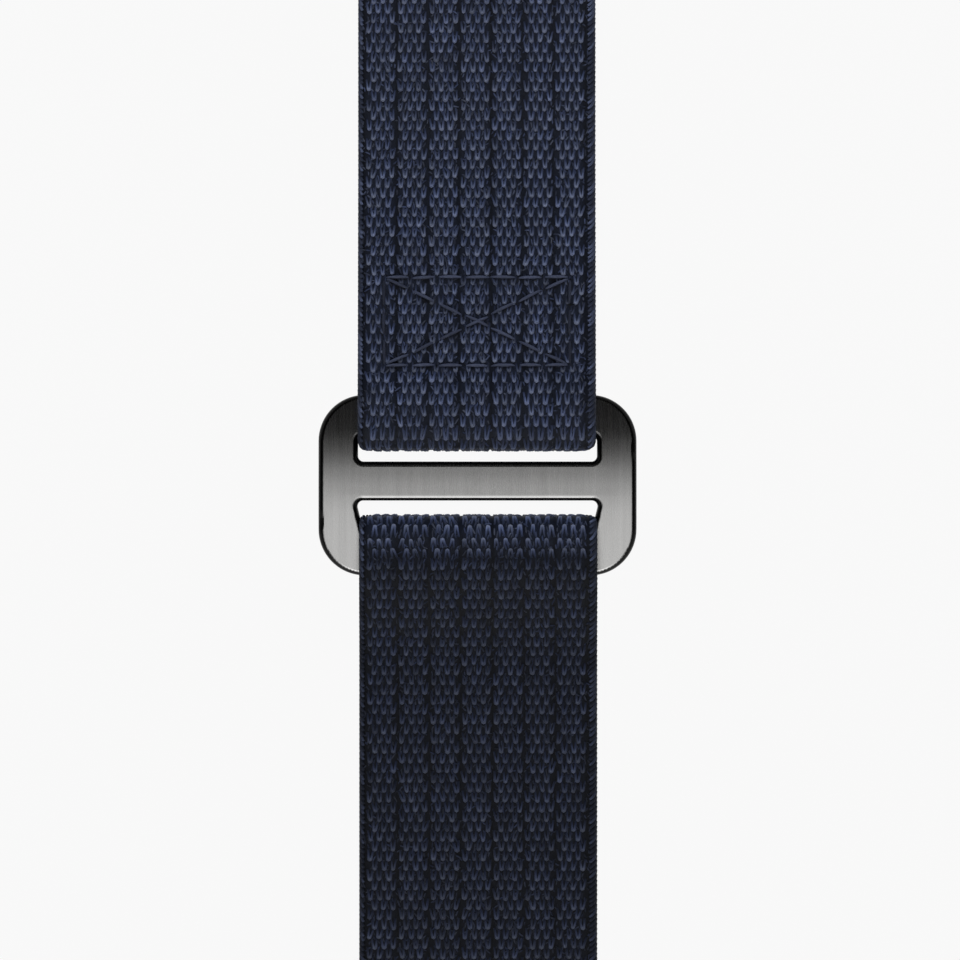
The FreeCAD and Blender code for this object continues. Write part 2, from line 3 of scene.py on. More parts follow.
import bpy
import numpy as np
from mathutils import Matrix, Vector


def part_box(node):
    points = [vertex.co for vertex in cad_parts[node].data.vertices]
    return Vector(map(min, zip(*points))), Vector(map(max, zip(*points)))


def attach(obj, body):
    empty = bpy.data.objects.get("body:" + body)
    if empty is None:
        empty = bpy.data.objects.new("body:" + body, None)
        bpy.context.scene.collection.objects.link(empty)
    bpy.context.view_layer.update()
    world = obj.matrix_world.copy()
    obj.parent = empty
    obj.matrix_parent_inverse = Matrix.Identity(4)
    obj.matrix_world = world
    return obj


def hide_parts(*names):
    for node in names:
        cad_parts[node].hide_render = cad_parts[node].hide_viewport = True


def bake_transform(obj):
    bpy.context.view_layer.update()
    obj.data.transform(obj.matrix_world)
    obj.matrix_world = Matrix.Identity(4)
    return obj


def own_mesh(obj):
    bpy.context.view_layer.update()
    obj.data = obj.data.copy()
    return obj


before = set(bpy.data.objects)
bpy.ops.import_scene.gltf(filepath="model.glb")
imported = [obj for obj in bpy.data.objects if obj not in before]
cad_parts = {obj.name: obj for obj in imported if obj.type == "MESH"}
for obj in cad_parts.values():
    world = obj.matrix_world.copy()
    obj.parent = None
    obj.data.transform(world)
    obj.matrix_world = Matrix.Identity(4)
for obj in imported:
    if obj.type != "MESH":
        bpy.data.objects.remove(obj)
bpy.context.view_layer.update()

# The woven band lies open, seen from straight above, with a pale floor well below it. Modelling is in
# millimetres, in the frame's axes: Y runs along the band, X across it and Z out of its outer face. Meshes are
# turned into metres as they are made.
MM = 0.001
SEED = 20


def span(node, axis):
    """Lowest and highest place of a CAD node along an axis, in millimetres."""
    low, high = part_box(node)
    return low[axis] / MM, high[axis] / MM


X, Y, Z = 0, 1, 2

# -------- sizes from the frame

HALF_WIDTH = span("upper_webbing_1", X)[1]
THICK = span("upper_webbing_2", Z)[1] - span("upper_webbing_2", Z)[0]
MID = THICK / 2
CREST = span("upper_buckle_loop", Z)[1] - MID
UPPER_ROLL = span("upper_buckle_loop", Y)[0] + MID
LOWER_ROLL = span("lower_buckle_loop", Y)[1] - MID
EYE_Z = sum(span("upper_bar_tube", Z)) / 2
EYE_Y = sum(span("upper_bar_tube", Y)) / 2
EYE_RADIUS = EYE_Z - MID
TAIL_END = span("tail_tip", Y)[0]
TAPE_Z = span("loop_patch_2", Z)
TAPE_Y = span("loop_patch_3", Y)[0], span("loop_patch_1", Y)[1]
TAPE_HALF = span("loop_patch_2", X)[1]
HOOK_Z = span("hook_patch", Z)
HOOK_Y = span("hook_patch", Y)

# -------- sizes of the weave

ROLL_RADIUS = 1.75  # middle line of the turn over a buckle bar
CORNER_STEP = math.radians(4)
FINE_STEP = 0.02  # step in which a place along the middle line is looked for
LEVEL = 0.85  # rows keep their spacing as seen from above where the outward Z is more than this
COLUMN = 0.97  # pitch of the floats across a rib
ROW = 1.03  # pitch of the rows along the webbing
RIBS = 7
RIB = 3.328  # pitch of the ribs
RIBS_SHIFT = -0.19  # the ribs sit a little to one side of the webbing's middle
GROOVE_DEPTH = 0.15
RELIEF = 0.23  # how far the floats stand out of the body of the webbing
STRAND = 0.152  # radius of the yarn that a float shows
TIP_HALF = 0.122  # half width between a float's two legs, at its tip and at its open end
MOUTH_HALF = 0.27
TIP_SHARE = 0.22  # share of each side of a float's line that is its rounded tip
LEG_LENGTH = 1.0
FLOAT_CENTRE = 0.50  # from a float's tip to the middle of its place in the row
FLIP_END = 5.95  # how far from its roll the lower half's floats point the other way
FLIP_BLUR = 0.52  # the floats next to that place are smaller and dimmer
FLOAT_JITTER = 0.025, 0.03  # how unevenly the floats lie, across and along
GROUND_JITTER = 0.09, 0.12  # and the short yarns between them
BODY_COLUMN = 0.42  # spacing of the body's points across the webbing
BODY_STEP = 0.4  # and of its rings along it
STRAIGHT_STEPS = 3  # one ring in this many is kept where the webbing is straight
BODY_INSET = 0.16  # the body stays this far inside the webbing's nominal edge
BODY_EDGE = 0.55  # share of its thickness that the body keeps at its edges
END_LIP = 0.03  # keeps the shading of a piece's cut end off its faces
ROLL_FILL = 0.4  # how much shallower the relief is at the turn over the buckle's bar
ROLL_SPREAD = 2.0  # and how far along the webbing that reaches
GROUND_RADIUS = 0.11
GROUND_LIFT = 0.03  # of the short yarns above the body
FLOAT_MARGIN = 0.55  # how far inside the webbing's edge the floats stay
GROUND_MARGIN = 0.32  # and the short yarns
END_MARGIN = 0.8  # how far from the webbing's two ends both stay
TAIL_CORNER = 3.0  # radius of the corners at the tail's free end
SELVAGE_RADIUS = 0.19
SELVAGE_END = 0.6  # how far from the webbing's two ends the weft turns stay
SELVAGE_OUT = 0.06  # the weft turns stand out of the webbing's nominal edge
SELVAGE_BELLY = 0.25  # how far a turn draws in between the edge and the face
SELVAGE_REACH = 0.07, 0.41  # how much further it reaches in over the face, at the left and right edges
SELVAGE_LEAN = 1.3  # how far a turn leans along the webbing between the edge and the face


# -------- the webbing's middle line


class Path:
    """The middle line of a webbing in the YZ plane: straight runs with rounded corners, measured by
    length. A corner is its Y, its Z and its radius. side is 1 where the outer face lies to the left of the
    way it runs, and -1 where it lies to the right."""

    def __init__(self, *corners, side):
        self.side = side
        points = [np.array(corner[:2], float) for corner in corners]
        runs = [b - a for a, b in zip(points, points[1:])]
        headings = np.unwrap([math.atan2(run[1], run[0]) for run in runs])
        places, angles = [points[0]], [headings[0]]
        for point, corner, before, after in zip(points[1:], corners[1:-1], headings, headings[1:]):
            turn = after - before
            setback = corner[2] * math.tan(abs(turn) / 2)
            start = point - setback * np.array([math.cos(before), math.sin(before)])
            inward = np.array([-math.sin(before), math.cos(before)]) * math.copysign(corner[2], turn)
            spoke = -inward
            for share in np.linspace(0, 1, 2 + int(abs(turn) / CORNER_STEP)):
                swing = turn * share
                cos, sin = math.cos(swing), math.sin(swing)
                swung = [cos * spoke[0] - sin * spoke[1], sin * spoke[0] + cos * spoke[1]]
                places.append(start + inward + swung)
                angles.append(before + swing)
        places.append(points[-1])
        angles.append(headings[-1])
        self.places = np.array(places)
        self.angles = np.array(angles)
        steps = np.linalg.norm(np.diff(self.places, axis=0), axis=1)
        self.lengths = np.concatenate([[0], np.cumsum(steps)])
        self.length = self.lengths[-1]

    def place(self, s):
        """Y and Z of the middle line at length s."""
        return np.interp(s, self.lengths, self.places[:, 0]), np.interp(s, self.lengths, self.places[:, 1])

    def outward(self, s):
        """Y and Z of the outer face's direction at length s."""
        angle = np.interp(s, self.lengths, self.angles)
        return -np.sin(angle) * self.side, np.cos(angle) * self.side

    def outward_3d(self, s):
        """The same direction in space."""
        out_y, out_z = self.outward(s)
        return np.stack([np.zeros_like(out_y), out_y, out_z], axis=-1)

    def point(self, x, s, lift):
        """Points in space, lift above the middle line towards the outer face."""
        y, z = self.place(s)
        out_y, out_z = self.outward(s)
        return np.stack(np.broadcast_arrays(x, y + out_y * lift, z + out_z * lift), axis=-1)

    def length_at(self, y, after=0.0):
        """The first length past after at which the line passes y."""
        s = np.arange(after, self.length, FINE_STEP)
        sign = np.sign(self.place(s)[0] - y)
        changes = np.nonzero(sign[1:] != sign[:-1])[0]
        return s[changes[0] + 1]


EYE_CORNERS = [
    (EYE_Y - 3.41, THICK + MID, 1.2),
    (EYE_Y - 0.52, EYE_Z + EYE_RADIUS, EYE_RADIUS),
    (EYE_Y + EYE_RADIUS, EYE_Z + EYE_RADIUS, EYE_RADIUS),
    (EYE_Y + EYE_RADIUS, MID, EYE_RADIUS),
]
UPPER_FOLD = 24.0  # end of the layer folded back behind the buckle
UPPER_END_FOLD = 65.5  # end of the layer folded back round the spring bar
LOWER_END_FOLD = -70.0

upper_path = Path(
    (UPPER_FOLD, MID, 0),
    (12.4, 2.65, 3.0),
    (9.0, MID, 3.0),
    (UPPER_ROLL, MID, ROLL_RADIUS),
    (UPPER_ROLL, CREST, ROLL_RADIUS),
    (9.4, CREST, 8.0),
    (13.0, 4.1, 10.0),
    (24.0, 2.25, 25.0),
    (34.0, MID, 25.0),
    (62.0, MID, 5.0),
    (UPPER_END_FOLD, THICK + MID, 5.0),
    *EYE_CORNERS,
    (UPPER_END_FOLD, MID, 0),
    side=1,
)
lower_path = Path(
    (TAIL_END, MID, 0),
    (LOWER_ROLL, MID, ROLL_RADIUS),
    (LOWER_ROLL, CREST, ROLL_RADIUS),
    (-9.2, CREST, 9.0),
    (-16.5, 3.05, 14.0),
    (-54.0, 3.05, 20.0),
    (-62.0, MID, 15.0),
    (-66.0, MID, 5.0),
    (LOWER_END_FOLD + 0.5, THICK + MID, 5.0),
    *[(-y, z, radius) for y, z, radius in EYE_CORNERS],
    (LOWER_END_FOLD, MID, 0),
    side=-1,
)
UPPER_TURN = upper_path.length_at(UPPER_ROLL + 0.001)
LOWER_TURN = lower_path.length_at(LOWER_ROLL - 0.001)


class Strap:
    """One half of the band: its middle line, how far it lies off the middle, which way its floats point,
    and how its rows and width vary and the light and shade painted along it."""

    def __init__(self, path, shift, tip_way, turn, pinch, stretch, tone):
        self.path = path
        self.shift = shift
        self.tip_way = tip_way
        self.turn = turn
        self.pinch = pinch
        self.stretch = stretch
        self.tone = tone
        self.rows = self.make_rows()

    def make_rows(self):
        """Lengths of the rows, from the turn over the buckle's bar both ways, in order."""
        ways = []
        for way in (1, -1):
            s = self.turn
            found = []
            while 0 <= s <= self.path.length:
                found.append(s)
                level = abs(float(self.path.outward(s)[1]))
                row = ROW * self.stretch(float(self.path.place(s)[0]))
                s += way * row / (level if level > LEVEL else 1.0)
            ways.append(found)
        return np.array(ways[1][:0:-1] + ways[0])

    def squeeze(self, s):
        """Share of the full width that the webbing keeps where it is drawn through the buckle's slot."""
        reach, depth = self.pinch
        away = np.abs(s - self.turn)
        share = np.clip((reach - away) / reach, 0, 1)
        return 1 - depth * share * share * (3 - 2 * share)

    def across(self, x, s):
        """Where a place across the flat webbing comes to lie."""
        return x * self.squeeze(s) + self.shift


upper = Strap(
    upper_path,
    shift=-0.07,
    tip_way=-1,
    turn=UPPER_TURN,
    pinch=(2.1, 0.085),
    stretch=lambda y: 1 + 0.11 * np.exp(-(((y - 6.5) / 4.0) ** 2)),
    # Painted shade: the upper half is a little darker where it turns over the buckle's bar.
    tone=lambda y: 1 - 0.08 * np.exp(-(((y - 4.2) / 1.6) ** 2)),
)
lower = Strap(
    lower_path,
    shift=0.08,
    tip_way=1,
    turn=LOWER_TURN,
    pinch=(1.5, 0.065),
    stretch=lambda y: 1 + 0.05 * np.exp(-(((y + 5.5) / 2.5) ** 2)) - 0.02 * np.exp(-(((y + 12) / 4) ** 2)),
    # Painted shade and light: the lower half is darker all along, and brighter where it turns over the
    # buckle's bar.
    tone=lambda y: 0.43 * (1 + 1.45 * np.exp(-(((y + 3.2) / 4.0) ** 4))),
)

# -------- meshes


class Mesh:
    """Vertices and quads gathered from several parts of one piece, with a colour and a yarn place for each
    vertex."""

    def __init__(self):
        self.points, self.quads, self.colours, self.yarns = [], [], [], []
        self.count = 0

    def add_rings(self, rings, colours, yarns):
        """rings is (parts, steps, around, 3): each part's rings are joined into one skin. colours is one for
        all points or one for each."""
        parts, steps, around = rings.shape[:3]
        index = self.count + np.arange(parts * steps * around).reshape(parts, steps, around)
        turned = np.roll(index, -1, axis=2)
        quads = np.stack([index[:, :-1], turned[:, :-1], turned[:, 1:], index[:, 1:]], axis=-1)
        self.points.append(rings.reshape(-1, 3))
        self.quads.append(quads.reshape(-1, 4))
        self.colours.append(np.broadcast_to(colours, rings.shape).reshape(-1, 3))
        self.yarns.append(yarns.reshape(-1, 3))
        self.count += index.size

    def make(self, name, material):
        points = np.concatenate(self.points) * MM
        quads = np.concatenate(self.quads)
        mesh = bpy.data.meshes.new(name)
        mesh.vertices.add(len(points))
        mesh.vertices.foreach_set("co", points.astype(np.float32).ravel())
        mesh.loops.add(quads.size)
        mesh.loops.foreach_set("vertex_index", quads.astype(np.int32).ravel())
        mesh.polygons.add(len(quads))
        mesh.polygons.foreach_set("loop_start", np.arange(0, quads.size, 4, dtype=np.int32))
        mesh.polygons.foreach_set("use_smooth", np.ones(len(quads), bool))
        for title, rows in (("yarn_colour", self.colours), ("yarn_place", self.yarns)):
            attribute = mesh.attributes.new(title, "FLOAT_VECTOR", "POINT")
            attribute.data.foreach_set("vector", np.concatenate(rows).astype(np.float32).ravel())
        mesh.update(calc_edges=True)
        mesh.validate()
        mesh.materials.append(material)
        made = bpy.data.objects.new(name, mesh)
        bpy.context.scene.collection.objects.link(made)
        return made


def unit(vectors):
    return vectors / np.maximum(np.linalg.norm(vectors, axis=-1, keepdims=True), 1e-9)


def add_threads(mesh, lines, radii, up, colours, sides=6):
    """Round threads along lines, (parts, steps, 3), as thick as radii. up is roughly square to them.
    colours and radii are for each step of each part, or the same for all parts."""
    along = unit(np.gradient(lines, axis=1))
    across = unit(np.cross(along, np.broadcast_to(up, lines.shape)))
    over = np.cross(across, along)
    turn = np.linspace(0, 2 * math.pi, sides, endpoint=False)
    spoke = across[:, :, None] * np.cos(turn)[:, None] + over[:, :, None] * np.sin(turn)[:, None]
    radii = np.broadcast_to(radii, lines.shape[:2])
    rings = lines[:, :, None] + spoke * radii[:, :, None, None]
    run = np.cumsum(np.linalg.norm(np.diff(lines, axis=1, prepend=lines[:, :1]), axis=2), axis=1)
    parts = np.arange(len(lines))[:, None, None]
    yarns = np.stack(np.broadcast_arrays(turn * 0.15, run[:, :, None], parts), axis=-1)
    mesh.add_rings(rings, colours[:, :, None], yarns)


# -------- colours of the yarns

NAVY = np.array([0.0345, 0.0480, 0.104])
SLATE = np.array([0.0520, 0.0600, 0.086])
# Colour of the webbing's body: navy yarn darkened as painted shade for the gaps between the floats.
SHADED_BODY_COLOUR = np.array([0.0072, 0.0100, 0.0200])
TIP_HIGHLIGHT = 2.6  # brightness of a float's tip, which carries a painted highlight, of its legs and of the short yarns
LEG_GAIN = 1.12
GROUND_GAIN = 0.88
SELVAGE_GAIN = 1.9, 0.7  # of the few bright weft turns and of the others
BRIGHT_TURNS = 0.35  # share of the weft turns that are bright
GROOVE_SHADE = 0.55  # painted shade: how much darker the body is in the grooves

# -------- the weave


def smooth(low, high, value):
    share = np.clip((value - low) / (high - low), 0, 1)
    return share * share * (3 - 2 * share)


def groove_at(x):
    """How far into the groove between two ribs a place across the webbing is, from 0 to 1."""
    rib = (x - RIBS_SHIFT) / RIB + RIBS / 2
    return smooth(0.72, 1.0, np.abs(rib - np.floor(rib) - 0.5) * 2)


def half_width(strap, s):
    """Half width of the webbing at a length, rounded off at the tail's free end."""
    wide = np.full(np.shape(s), HALF_WIDTH)
    if strap is upper:
        return wide
    short = np.clip(TAIL_CORNER - s, 0, TAIL_CORNER)
    return wide - (TAIL_CORNER - np.sqrt(TAIL_CORNER * TAIL_CORNER - short * short))


def relief_at(x):
    """How far the body of the webbing stands below the tops of the floats: least in a rib's middle."""
    return RELIEF + GROOVE_DEPTH * groove_at(x)


def add_body(mesh, strap, start, end, left, right):
    """The webbing's closed body between two lengths and two places across it, ribbed on both faces."""
    columns = np.linspace(left, right, max(4, int((right - left) / BODY_COLUMN)))
    edge = np.minimum(columns - left, right - columns)
    s = np.linspace(start, end, max(2, int((end - start) / BODY_STEP)))
    bent = np.abs(np.gradient(strap.path.outward(s)[0])) > 0.001
    picked = bent | (np.arange(len(s)) % STRAIGHT_STEPS == 0)
    picked[-1] = True
    inner = s[picked][1:-1]
    s = np.concatenate([[start, start, start + END_LIP], inner, [end - END_LIP, end, end]])[:, None]
    filled = 1 - ROLL_FILL * np.exp(-(((s - strap.turn) / ROLL_SPREAD) ** 2))
    half = (MID - relief_at(columns) * filled) * np.where(edge < 0.05, BODY_EDGE, 1.0)
    half[[0, -1]] = 0.0
    lift = np.concatenate([half, -half[:, ::-1]], axis=1)
    across = np.concatenate([columns, columns[::-1]])[None]
    rings = strap.path.point(strap.across(across, s), s, lift)[None]
    yarns = np.stack(np.broadcast_arrays(across, s, lift), axis=-1)
    # The body stands for the shade between the floats: painted shade, deeper still in the grooves.
    shade = strap.tone(rings[..., Y]) * (1 - GROOVE_SHADE * groove_at(across))
    colours = SHADED_BODY_COLOUR * shade[..., None]
    mesh.add_rings(rings, colours, yarns)


def float_shape():
    """A float's line, from the top of one leg round its tip to the top of the other, and how it varies on
    the way: places across and along, lift as a share of the relief, radius and painted light, with a painted
    highlight at the tip and painted shade towards the legs' open ends."""
    away = np.array([1.0, 0.62, 0.32, 0.14, 0.0])
    way = np.concatenate([-away, away[-2::-1]])
    away = np.abs(way)
    bend = np.clip(away / TIP_SHARE, 0, 1) * math.pi / 2
    leg = np.clip((away - TIP_SHARE) / (1 - TIP_SHARE), 0, 1)
    across = np.sign(way) * (TIP_HALF * np.sin(bend) + (MOUTH_HALF - TIP_HALF) * leg)
    along = TIP_HALF * (1 - np.cos(bend)) + LEG_LENGTH * leg - FLOAT_CENTRE
    lift = (0.82 + 0.18 * smooth(0.0, 0.15, away)) * (1 - 0.95 * smooth(0.30, 1.0, leg))
    radius = STRAND * (1 - 0.2 * leg)
    # Painted highlight on the rounded tip, and painted shade where the legs dip into the body.
    light = LEG_GAIN + (TIP_HIGHLIGHT - LEG_GAIN) * (1 - smooth(0.0, 0.30, leg)) ** 1.5
    light = light * (1 - 0.62 * smooth(0.25, 1.0, leg))
    return across, along, lift, radius, light


def add_floats(mesh, strap, lengths, even, face, keep, draw):
    """The floats of several rows: yarns that come up as two legs and close in a bright rounded tip. Even rows
    lie half a column further over. face is 1 for the outer face and -1 for the inner."""
    across, along, lift, radius, light = float_shape()
    ribs = RIBS_SHIFT + (np.arange(RIBS) - (RIBS - 1) / 2) * RIB
    columns = (ribs[:, None] + np.array([-1, 0, 1]) * COLUMN).ravel()
    x0 = columns[None] + COLUMN * np.where(even[:, None], 0.25, -0.25)
    s0 = np.broadcast_to(lengths[:, None], x0.shape)
    x0, s0 = x0.ravel(), s0.ravel()
    wanted = keep(x0, s0)
    x0, s0 = x0[wanted], s0[wanted]
    count = len(x0)
    x0 = x0 + draw.normal(0, FLOAT_JITTER[0], count)
    s0 = s0 + draw.normal(0, FLOAT_JITTER[1], count)
    lean = draw.normal(0.03, 0.09, count)
    size = np.clip(draw.normal(0.97, 0.08, count), 0.75, 1.2)
    gain = np.clip(draw.normal(1.03, 0.15, count), 0.6, 1.5)
    if strap is lower:
        mixed = np.abs(s0 - FLIP_END - strap.turn) < FLIP_BLUR
        size, gain = size * np.where(mixed, 0.72, 1.0), gain * np.where(mixed, 0.75, 1.0)
    # Hue varies at random, and the painted highlight at the tips is also greyer.
    grey = 0.35 * draw.random(count)[:, None] + 0.65 * smooth(LEG_GAIN, TIP_HIGHLIGHT, light)
    turned = flipped(strap, s0) != (face < 0)
    way = np.where(turned, -strap.tip_way, strap.tip_way)
    y0 = strap.path.place(s0)[0]
    stretch = strap.stretch(y0)
    s = s0[:, None] - (way * stretch * np.where(turned, 0.8, 1.0))[:, None] * along
    x = strap.across(x0[:, None] + across * size[:, None] + lean[:, None] * along, s)
    press = box_press(strap, x0, s0) if face > 0 else np.ones(count)
    lowest = MID - RELIEF - STRAND * 0.6 - 0.5 * (relief_at(x0) - RELIEF)
    rise = MID - STRAND - lowest
    centre = lowest[:, None] + rise[:, None] * lift * press[:, None]
    lines = strap.path.point(x, s, face * centre)
    up = strap.path.outward_3d(s)
    # Painted shade near the box stitch, times the light and shade painted along the webbing.
    shade = (gain * strap.tone(y0) * (0.45 + 0.55 * press))[:, None] * light
    colours = (NAVY + (SLATE - NAVY) * grey[..., None]) * shade[..., None]
    add_threads(mesh, lines, radius * size[:, None], up, colours, sides=5)


def add_ground(mesh, strap, lengths, keep, draw):
    """The short dim yarns that show between the outer face's floats, at all angles."""
    places = np.arange(-HALF_WIDTH, HALF_WIDTH, COLUMN / 2)
    x0 = np.broadcast_to(places[None], (len(lengths) * 2, len(places))).ravel()
    s0 = np.repeat(np.concatenate([lengths, lengths + ROW / 2]), len(places))
    wanted = keep(x0, s0, GROUND_MARGIN) & (draw.random(len(x0)) < 0.9 - 0.75 * groove_at(x0))
    x0, s0 = x0[wanted], s0[wanted]
    count = len(x0)
    x0 = x0 + draw.normal(0, GROUND_JITTER[0], count)
    s0 = s0 + draw.normal(0, GROUND_JITTER[1], count)
    way = draw.normal(0, 0.6, count)
    reach = draw.uniform(0.22, 0.42, count)
    share = np.array([-1.0, -0.4, 0.4, 1.0])
    s = s0[:, None] + (reach * np.cos(way))[:, None] * share
    x = strap.across(x0[:, None] + (reach * np.sin(way))[:, None] * share, s)
    high = MID - relief_at(x0) + GROUND_LIFT + draw.normal(0, 0.03, count)
    lines = strap.path.point(x, s, high[:, None] - 0.12 * share**2)
    up = strap.path.outward_3d(s)
    y0 = strap.path.place(s0)[0]
    shade = np.clip(draw.lognormal(math.log(GROUND_GAIN), 0.4, count), 0.2, 1.4) * strap.tone(y0)
    # Painted shade near the box stitch.
    shade = shade * box_press(strap, x0, s0)
    grey = draw.random(count)
    colours = (NAVY + (SLATE - NAVY) * grey[:, None]) * shade[:, None]
    radius = GROUND_RADIUS * (1 - 0.4 * share**2)
    add_threads(mesh, lines, radius, up, np.broadcast_to(colours[:, None], lines.shape), sides=3)


def flipped(strap, s):
    """The first rows of the lower half past its roll show their crossings the other way up."""
    if strap is upper:
        return np.zeros(len(s), bool)
    return (s > strap.turn - 1) & (s < strap.turn + FLIP_END)


def add_selvage(mesh, strap, lengths, draw):
    """Weft turns that wrap the webbing's two edges, two to a row, leaning along it."""
    turn = np.linspace(-0.5 * math.pi, 0.5 * math.pi, 9)
    radii = SELVAGE_RADIUS * np.sin(np.linspace(0.35, math.pi - 0.35, len(turn))) ** 0.5
    faced = np.abs(np.sin(turn))
    later = strap.rows[np.clip(np.searchsorted(strap.rows, lengths) + 1, 0, len(strap.rows) - 1)]
    lengths = np.sort(np.concatenate([lengths, (lengths + later) / 2]))
    for edge, inward in zip((-1, 1), SELVAGE_REACH):
        s0 = lengths + draw.normal(0, 0.03, len(lengths))
        outer = half_width(strap, s0)[:, None] + SELVAGE_OUT - SELVAGE_RADIUS
        x = outer - SELVAGE_BELLY * (1 - np.cos(turn)) - inward * faced**3
        s = s0[:, None] + strap.tip_way * (SELVAGE_LEAN * faced - 0.5)
        lift = (MID - SELVAGE_RADIUS) * np.sin(turn) * np.ones_like(x)
        lines = strap.path.point(strap.across(edge * x, s), s, lift)
        gain = np.where(draw.random(len(s0)) < BRIGHT_TURNS, *SELVAGE_GAIN)
        gain = gain * strap.tone(strap.path.place(s0)[0])
        # Painted light: a turn is brighter where it lies over the faces and darker on the webbing's edge.
        light = 0.36 + 0.80 * faced**4
        colours = (SLATE + NAVY) / 2 * (gain[:, None] * light)[..., None]
        out_y, out_z = strap.path.outward(s)
        up = np.stack([np.zeros_like(out_y), out_z, -out_y], axis=-1)
        add_threads(mesh, lines, radii, up, colours)


# -------- stitches

THREAD_RADIUS = 0.17
THREAD_STEPS = 11
SIDE_SHADE = 0.38  # painted shade on seams that don't run straight across, which lie deeper between the floats
SLANT_SHADE = 0.85
THREAD_COLOUR = np.array([0.055, 0.066, 0.112])
BOX_X = 9.78  # half width of the box stitch, and its two rows
BOX_Y = 12.42, 21.8
BOX_ROW_STITCHES = 7
BOX_SIDE_STITCHES = 3


def stitch_ends(start, end, count):
    """Ends of evenly spaced stitches along a seam, (count, 2, 2)."""
    start, end = np.array(start), np.array(end)
    share = np.linspace(0, 1, count + 1)
    marks = start + (end - start) * share[:, None]
    return np.stack([marks[:-1], marks[1:]], axis=1)


def box_seams():
    """The box's two rows, its two sides and its two diagonals."""
    low, high = BOX_Y
    low_left, low_right = (-BOX_X, low), (BOX_X, low)
    high_left, high_right = (-BOX_X, high), (BOX_X, high)
    seams = (
        (low_left, low_right, BOX_ROW_STITCHES),
        (high_left, high_right, BOX_ROW_STITCHES),
        (low_left, high_left, BOX_SIDE_STITCHES),
        (low_right, high_right, BOX_SIDE_STITCHES),
        (low_left, high_right, BOX_ROW_STITCHES),
        (high_left, low_right, BOX_ROW_STITCHES),
    )
    return np.concatenate([stitch_ends(*seam) for seam in seams])


BOX_STITCHES = box_seams()


def box_press(strap, x, s):
    """How much of its height a float keeps near the box stitch, which pulls the weave down. The same share
    also darkens the floats and short yarns there as painted shade, most round the needle holes.
    """
    if strap is lower:
        return np.ones(len(x))
    y = strap.path.place(s)[0]
    front = s > strap.turn
    nearest = np.full(len(x), 9.0)
    for start, end in BOX_STITCHES:
        along = end - start
        share = np.clip(((x - start[0]) * along[0] + (y - start[1]) * along[1]) / (along @ along), 0, 1)
        away = np.hypot(x - start[0] - share * along[0], y - start[1] - share * along[1])
        nearest = np.minimum(nearest, away)
    holes = BOX_STITCHES.reshape(-1, 2)
    hole = np.min(np.hypot(x[:, None] - holes[:, 0], y[:, None] - holes[:, 1]), axis=1)
    press = (0.32 + 0.68 * smooth(0.22, 0.75, nearest)) * (0.5 + 0.5 * smooth(0.2, 0.55, hole))
    return np.where(front, press, 1.0)


def add_stitches(mesh, strap, ends, after, draw):
    """Threads on the webbing's outer face, past the length after, that dip into a needle hole at each end."""
    share = np.linspace(0, 1, THREAD_STEPS)[None, :, None]
    jitter = draw.normal(0, 0.05, ends.shape)
    start, end = ends[:, None, 0] + jitter[:, None, 0], ends[:, None, 1] + jitter[:, None, 1]
    flat = start + (end - start) * (0.05 + 0.90 * share)
    arch = 1 - np.abs(2 * share[..., 0] - 1) ** 4
    lengths = np.vectorize(lambda y: strap.path.length_at(y, after))(flat[..., 1])
    face_lift = MID - 0.42 + 0.40 * arch
    points = strap.path.point(flat[..., 0] + strap.shift, lengths, face_lift)
    radii = THREAD_RADIUS * np.sqrt(np.sin(np.linspace(0.12, math.pi - 0.12, THREAD_STEPS)))
    radii = np.maximum(radii, THREAD_RADIUS * 0.5)
    _, out_z = strap.path.outward(lengths)
    up = np.stack([np.zeros_like(out_z), np.zeros_like(out_z), out_z], axis=-1)
    shade = np.clip(draw.normal(1.0, 0.12, len(ends)), 0.7, 1.4)
    straight_across = ends[:, 0, Y] == ends[:, 1, Y]
    straight_along = ends[:, 0, X] == ends[:, 1, X]
    # Painted shade on the seams that lie deeper between the floats.
    depth_shade = np.where(straight_across, 1.0, np.where(straight_along, SIDE_SHADE, SLANT_SHADE))
    shade = shade * depth_shade
    colours = np.broadcast_to(shade[:, None, None] * THREAD_COLOUR, points.shape)
    add_threads(mesh, points, radii, up, colours)


# -------- materials

NOISE_RANGE = 0.3, 0.7  # where most of a noise texture's values lie
RIM = 0.89, 0.96  # flatness at which the painted shade on the buckle's rim ends and its face begins
DOWNHILL = 0.12  # added to the flatness of a face that slopes down towards -Y, for less painted shade on those edges
SIDEWAYS = -0.4  # and to that of one which turns to either side, for more painted shade there


def new_material(name):
    material = bpy.data.materials.new(name)
    material.use_nodes = True
    return material, material.node_tree, material.node_tree.nodes["Principled BSDF"]


def calculate(tree, operation, *terms):
    """A Math node on outputs of other nodes and plain numbers."""
    node = tree.nodes.new("ShaderNodeMath")
    node.operation = operation
    for term, socket in zip(terms, node.inputs):
        if isinstance(term, bpy.types.NodeSocket):
            tree.links.new(term, socket)
        else:
            socket.default_value = term
    return node.outputs[0]


def map_range(tree, source, low, high, to_low, to_high, kind="LINEAR"):
    mapped = tree.nodes.new("ShaderNodeMapRange")
    mapped.interpolation_type = kind
    mapped.inputs["From Min"].default_value = low
    mapped.inputs["From Max"].default_value = high
    mapped.inputs["To Min"].default_value = to_low
    mapped.inputs["To Max"].default_value = to_high
    tree.links.new(source, mapped.inputs["Value"])
    return mapped.outputs["Result"]


def separate(tree, vector):
    """The X, Y and Z of a vector output."""
    parts = tree.nodes.new("ShaderNodeSeparateXYZ")
    tree.links.new(vector, parts.inputs["Vector"])
    return parts.outputs["X"], parts.outputs["Y"], parts.outputs["Z"]


